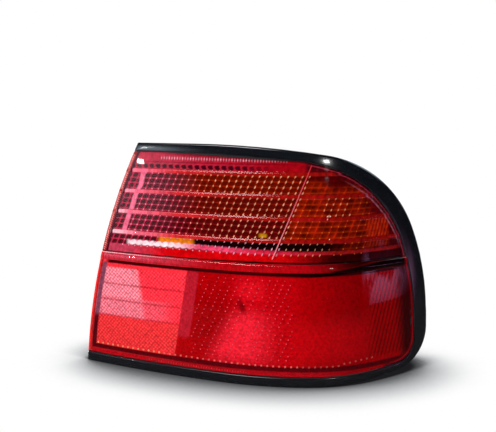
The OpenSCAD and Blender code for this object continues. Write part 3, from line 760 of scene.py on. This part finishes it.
def lower_tint_and_painted_light(u, z):
    """Colours of the lower lens, painted light and shade among them, at places in the front view, each laid
    over the ones before
    """
    from_end = from_inboard(u, z)
    from_rim = from_edge(u, z, edge_over)
    reflex_edge = 77.7 + reflex_lean * (z - 16.5)
    tint = blend((0.42, 0.0003, 0.002), (0.52, 0.0006, 0.004), ease(u, 120, 150) * (1 - ease(u, 185, 210)))
    tint = blend(tint, (0.31, 0.0001, 0.0015), ease(u, 195, 262))
    tint = blend(tint, (0.46, 0.0001, 0.001), ease(u, 255, 275))
    tint = blend(tint, (0.66, 0.0006, 0.005), 0.5 * within(u, 190, 268, 30) * within(z, 12, 50, 25))
    tint = blend(tint, (0.33, 0.0002, 0.0015), 0.7 * within(u, 96, 132, 16) * within(z, 30, 74, 20))
    # Painted light: the reflector round the stop bulb drawn lit, bright red, with the bulb in it painted as a
    # dark shape in shade.
    glow_edge = 124 + 0.5 * (z - 28)
    glow = within(z, 12, 60, 24) * ease(u - glow_edge, -16, 10) * (1 - ease(u, 146, 186))
    glow = glow * (0.85 + 0.15 * np.sin(u / 2.3 + z / 5) * np.sin(z / 3.1 - u / 7))
    tint = blend(tint, (0.90, 0.020, 0.045), glow)
    tint = blend(tint, (0.80, 0.008, 0.02), 0.6 * within(z, 72, 92, 16) * within(u, 140, 166, 16))
    painted_bulb_shade = 1 - ease(np.hypot((u - 145 + 0.3 * (z - 63)) / 5.5, (z - 66) / 10), 0.2, 1.0)
    tint = blend(tint, (0.20, 0.0005, 0.003), 0.9 * painted_bulb_shade)
    reflex = (1 - ease(u, reflex_edge - 0.5, reflex_edge + 0.5))
    field = blend((0.80, 0.032, 0.036), (0.97, 0.034, 0.055), ease(z, 40, 43))
    tint = blend(tint, field, reflex)
    # Painted reflection: a pale pink wedge and a pinker patch over the reflex prisms at the inboard end.
    painted_wedge_reflection = within(z, 42, 92, 1.5) * (1 - ease(u, 34 + 0.16 * (92 - z), 40 + 0.16 * (92 - z)))
    tint = blend(tint, (0.86, 0.24, 0.30), 0.85 * painted_wedge_reflection)
    tint = blend(tint, (0.80, 0.12, 0.17), 0.5 * reflex * within(z, 42, 62, 3) * (1 - ease(u, 55, 80)))
    for level in (42, 58.5, 75):
        tint = blend(tint, (0.42, 0.008, 0.02), 0.55 * reflex * (1 - ease(np.abs(z - level), 0.5, 1.5)))
    tint = blend(tint, (0.50, 0.02, 0.045), within(u - reflex_edge, 0, 12, 1) * within(z, 30, 96, 6) * 0.6)
    flutes = ease(u, 262, 276) * within(z, 14, 98, 6)
    tint = tint * (1 - 0.85 * flutes * (1 - bump((u - flute_lean * z) / flute_w)))[..., None]
    tint = blend(tint, (0.05, 0.0002, 0.001), ease(u - 0.06 * (60 - z), 294, 309))
    # Painted shadow: a dark line under the bead, blacker and rising towards the outboard end.
    tint = blend(tint, (0.045, 0.0005, 0.002), within(z, 96.2, 100.2, 1.0) * ease(from_end, 5, 12))
    rise = 5 * ease(u, 200, 290)
    tint = blend(tint, (0.004, 0.0, 0.0002), within(z - rise, 95.4, 100.6, 1.2) * ease(u, 150, 230))
    bead = blend((0.46, 0.002, 0.006), (0.03, 0.0001, 0.0001), ease(u, 190, 260))
    tint = blend(tint, bead, ease(z - rise, 100.2, 101.2))
    # Painted highlight: the bead pinker towards the inboard end.
    tint = blend(tint, (0.62, 0.06, 0.11), ease(z, 101, 103) * (1 - ease(u, 30, 130)) * 0.7)
    tint = blend(tint, (0.10, 0.0005, 0.003), within(z, 4.8, 9.6, 1.2))
    tint = blend(tint, (0.42, 0.003, 0.008), (1 - ease(z, 4.2, 5.2)) * (1 - 0.7 * ease(u, 225, 270)))
    tint = blend(tint, (0.10, 0.0005, 0.003), (1 - ease(from_rim, 4, 5)) * ease(u, 280, 290))
    tint = blend(tint, (0.34, 0.003, 0.008), within(from_rim, 1.4, 3.0, 0.8) * ease(u, 286, 296))
    # The inboard wall seen through the lens: dark, with painted light making it mauve grey above.
    painted_wall_light = blend((0.075, 0.001, 0.004), (0.20, 0.055, 0.10), ease(z, 38, 44))
    tint = blend(tint, painted_wall_light, within(from_end, 4.6, 9.5, 1.2) * within(z, 8, 97, 3))
    tint = blend(tint, (0.62, 0.022, 0.02), 1 - ease(from_end, 3.9, 4.9))
    tint = blend(tint, (0.30, 0.008, 0.012), within(from_end, 2.2, 4.4, 0.8) * 0.8)
    return tint


lower_red = optic("lower_red", 420)
lower_grid = lens_grid(False, optic_inset, *optic_size)
lower_u, lower_z = lower_grid[..., 0], lower_grid[..., 1]
lower_field = within(lower_z, 14, 97, 2) * ease(lower_u - reflex_lean * lower_z, 86, 90)
lower_field = lower_field * (1 - ease(lower_u, 190, 200))
lower_col = (lower_u - small_pillow_lean * lower_z - small_pillow_first_u) / small_pillow_w
lower_pillow = bump(lower_col) * bump(lower_z / small_pillow_h)
lower_flute = ease(lower_u, 262, 272) * within(lower_z, 14, 98, 3)
lower_flute = lower_flute * bump((lower_u - flute_lean * lower_z) / flute_w)
lower_depth = lens_t + 0.35 * lower_field * lower_pillow + 0.5 * lower_flute
lower_optic = piece("lower_lens_optics", on_lamp(lower_u, lower_z, lower_depth).reshape(-1, 3),
                    grid_faces(*optic_size), lower_red)
lay(lower_optic, "tint", lower_tint_and_painted_light(lower_u.ravel(), lower_z.ravel()))
prism_zone = 1 - ease(lower_u - reflex_lean * lower_z, 74.5, 75.5)
prism_zone = prism_zone * ease(from_inboard(lower_u, lower_z), 9, 10)
prism_zone = prism_zone * within(lower_z, 13, 93, 1)
lay(lower_optic, "prisms", (prism_zone * 0.9).ravel())
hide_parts("lens_lower")


# Painted glints of the optics
# Where four pillows meet, a tiny pale facet is a painted glint, longer and more slanting towards the
# corner of the lamp. The fine ribs along the flanges are drawn as ticks of the same kind, and the thin
# lines on the beads are painted highlights.
painted_facet_material, painted_facet_shader = material("painted_glints_and_ticks")
painted_facet_shader.inputs["Roughness"].default_value = 0.5
painted_facet_shader.inputs["Specular IOR Level"].default_value = 0.1
painted_facet_laid = add_node(painted_facet_material, "ShaderNodeAttribute", attribute_name="tint")
painted_facet_grain = add_node(painted_facet_material, "ShaderNodeTexNoise")
painted_facet_grain.inputs["Scale"].default_value = 900
painted_facet_tone = ramp_of(painted_facet_material, [(0.35, (0.7, 0.7, 0.7)), (0.65, (1.15, 1.15, 1.15))])
painted_facet_mix = add_node(painted_facet_material, "ShaderNodeMix", data_type="RGBA", blend_type="MULTIPLY")
painted_facet_mix.inputs[0].default_value = 1.0
join(painted_facet_material, painted_facet_grain.outputs["Fac"], painted_facet_tone.inputs[0])
join(painted_facet_material, painted_facet_laid.outputs["Color"], painted_facet_mix.inputs[6])
join(painted_facet_material, painted_facet_tone.outputs[0], painted_facet_mix.inputs[7])
join(painted_facet_material, painted_facet_mix.outputs[2], painted_facet_shader.inputs["Base Color"])


facet_sunk = lens_t - 0.1
facet_high = 0.4


def painted_facets(name, node, spots):
    """Small facets in painted glint colours, each with its place, half length, half width, lean, colour and
    perhaps a depth
    """
    spot = np.array([s[:5] for s in spots], float)
    tints = np.array([s[5] for s in spots], float)
    sunk = np.array([s[6] if len(s) > 6 else facet_sunk for s in spots], float)
    u, z, long, wide, lean = spot.T
    size = np.hypot(1, lean)
    du, dz = long * lean / size, long / size
    across_u, across_z = wide * dz / long, wide * du / long
    corners = [(u + du, z + dz, sunk), (u + across_u, z - across_z, sunk), (u - du, z - dz, sunk),
               (u - across_u, z + across_z, sunk), (u, z, sunk - facet_high)]
    points = np.stack([on_lamp(*c) for c in corners], 1).reshape(-1, 3)
    faces = []
    for k in range(0, 5 * len(spots), 5):
        faces += [(k, k + 4, k + 1), (k + 1, k + 4, k + 2), (k + 2, k + 4, k + 3), (k + 3, k + 4, k)]
    made = piece(name, points, faces, painted_facet_material, smooth=False)
    lay(made, "tint", np.repeat(tints, 5, 0))
    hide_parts(node)


chance_steps = (12.9898, 78.233, 37.719)
chance_spread = 43758.5453


def chance(*seeds):
    """An even spread of values between 0 and 1 that is the same each time"""
    value = math.sin(sum(s * f for s, f in zip(seeds, chance_steps))) * chance_spread
    return value - math.floor(value)


# Painted glints at the pillow corners: pink at the inboard end, cream over the amber, and sparser orange ones
# past the slanted bead.
upper_painted_spots = []
for band in range(-1, 3):
    for step in range(4):
        if band < 0 and step < 1:
            continue
        z = rib_z + band * rib_pitch + pillow_first_z + step * pillow_h
        for k in range(-10, 40):
            u = pillow_w * k + pillow_first_u + pillow_lean * z
            side = u - pillow_lean * z - bead_foot_u
            luck = chance(k, step, band)
            if from_inboard(u, z) < 20 or u > 270 or (side > 3 and band == 2):
                continue
            if side > 3:
                kept = (band < 1 and side < 14) or (band == 1 and 222 < u < 250) or (band == -1 and side < 45)
                if not kept and luck < 0.35:
                    continue
                light = np.array((1.0, 0.50, 0.26) if kept else (0.85, 0.17, 0.012))
                light = light * (0.6 + 0.4 * luck)
                upper_painted_spots.append((u, z, 1.5 if kept else 0.8, 0.6, 0.5, light))
                continue
            far = ease(u, 95, 150)
            light = blend((1.0, 0.42, 0.58), (1.0, 0.58, 0.34), ease(np.array(u), 60, 110))
            if band < 0:
                light = np.array((1.0, 0.52, 0.66))
            light = light * (0.55 + 0.45 * luck)
            upper_painted_spots.append((u, z, 0.95 + 0.95 * far, 0.72, 0.2 + 0.35 * far, light))
# Fine ribs along the top flange, drawn as pale pink ticks.
for k in range(46):
    light = np.array((1.0, 0.42, 0.55)) * (0.55 + 0.45 * chance(k, 3))
    upper_painted_spots.append((62 + 2.8 * k, 206.8 - 0.015 * k, 2.0, 0.8, 0.1, light))
# Fine ribs along the inboard flange, drawn as pale red ticks.
for k in range(48):
    z = 110 + 2.1 * k
    light = np.array((1.0, 0.30, 0.27)) * (0.7 + 0.3 * chance(k, 5))
    upper_painted_spots.append((inboard_edge(z) + 2.4, z, 0.75, 1.6, 0.3, light))
# Painted highlight along the slanted bead, pale at its foot and red at its top.
for k in range(60):
    z = 113 + 89 * (k + 0.5) / 60
    light = blend((1.0, 0.40, 0.46), (0.80, 0.02, 0.04), np.array((k / 60) ** 0.8))
    upper_painted_spots.append((bead_foot_u + pillow_lean * z, z, 1.6, 0.65, pillow_lean, light, 1.6))
painted_facets("upper_painted_glints_and_ticks", "lens_upper", upper_painted_spots)

# Painted glints at the corners of the small pillows.
lower_painted_spots = []
for row in range(4, 24):
    z = small_pillow_h * row
    for k in range(26):
        u = small_pillow_w * k + small_pillow_first_u + small_pillow_lean * z
        if u < 92 + reflex_lean * (z - 16) or u > 196 - 6 * chance(row, 1) or chance(k, row) < 0.12:
            continue
        light = np.array((0.95, 0.10, 0.16)) * (0.45 + 0.55 * chance(k, row, 2))
        lower_painted_spots.append((u, z, 0.8, 0.7, 0.3, light))
# Painted glints along the scallops near the foot, cream at the inboard end and red outboard.
for k in range(50):
    u = -8 + 5.7 * k
    z = 11.0 + 3.0 * ease(np.array(float(u)), 230, 270) - 1.2 * ease(np.array(float(u)), 40, 200) * (u < 240)
    light = np.array((1.0, 0.42, 0.20) if u < 62 else (1.0, 0.15, 0.14))
    light = light * (0.7 + 0.3 * chance(k, 9)) * (1.0 if u < 200 else 0.6)
    lower_painted_spots.append((u, z, 1.3, 1.2, 0.6, light))
# Fine ribs along the bottom flange, drawn as red ticks.
for k in range(40):
    light = np.array((0.75, 0.05, 0.06)) * (0.5 + 0.5 * chance(k, 4))
    lower_painted_spots.append((47 + 2.6 * k, 2.0, 1.5, 0.45, 0.1, light))
# Painted highlight: a thin white line along the top of the lower lens's bead, fading to red outboard.
for k in range(42):
    light = blend((1.0, 0.90, 0.92), (0.75, 0.10, 0.15), np.array((k / 41) ** 1.5))
    lower_painted_spots.append((-2 + 2.1 * k, 107.4, 1.6, 0.55, 400.0, light, -0.6))
painted_facets("lower_painted_glints_and_ticks", "lens_lower", lower_painted_spots)


# Parts at the back and inside
# Bulb holders, seals, contacts, gasket, studs, caps, reflectors and bulbs keep the shapes that they
# are built to. Each has the finish of what it is made of.
finishes = {
    "inner_lens_amber": grained("amber_acrylic", (0.80, 0.24, 0.004), (0.92, 0.32, 0.01), 0.2, 150,
                                clear=0.5),
    "reflex_plate": grained("reflex_red", (0.50, 0.01, 0.015), (0.66, 0.02, 0.03), 0.2, 300),
    "lens_seal": grained("sealant", (0.012, 0.012, 0.013), (0.03, 0.03, 0.032), 0.6, 200, relief=0.4),
    "reflector_turn": grained("metallised", (0.80, 0.81, 0.83), (0.90, 0.91, 0.93), 0.12, 40, metal=1.0),
    "reflector_screws": grained("zinc_steel", (0.50, 0.50, 0.47), (0.68, 0.67, 0.62), 0.32, 500, metal=1.0),
    "bulb_turn": grained("bulb_amber", (0.85, 0.34, 0.03), (0.95, 0.42, 0.05), 0.08, 60, clear=0.6),
    "bulb_stop_tail": grained("bulb_clear", (0.88, 0.90, 0.92), (0.96, 0.97, 0.98), 0.06, 60, clear=0.8),
    "holder_turn": grained("holder_grey", (0.045, 0.045, 0.047), (0.075, 0.075, 0.078), 0.5, 700, relief=0.5),
    "holder_seal_turn": grained("seal_rubber", (0.010, 0.010, 0.010), (0.022, 0.022, 0.022), 0.7, 600,
                                relief=0.5),
    "contacts_turn": grained("contact_brass", (0.62, 0.42, 0.14), (0.78, 0.56, 0.22), 0.28, 300, metal=1.0),
    "body_gasket": grained("foam", (0.014, 0.014, 0.015), (0.040, 0.040, 0.043), 0.95, 1400, relief=1.0),
}
same_finish = {
    "reflector_stop": "reflector_turn", "reflector_side": "reflector_turn",
    "bulb_side_marker": "bulb_stop_tail",
    "holder_stop_tail": "holder_turn", "holder_side_marker": "holder_turn",
    "holder_seal_stop_tail": "holder_seal_turn", "holder_seal_side_marker": "holder_seal_turn",
    "vent_caps": "holder_seal_turn",
    "contacts_stop_tail": "contacts_turn", "contacts_side_marker": "contacts_turn",
    "studs": "reflector_screws",
}
for node in list(finishes) + list(same_finish):
    dress(node, finishes[same_finish.get(node, node)])
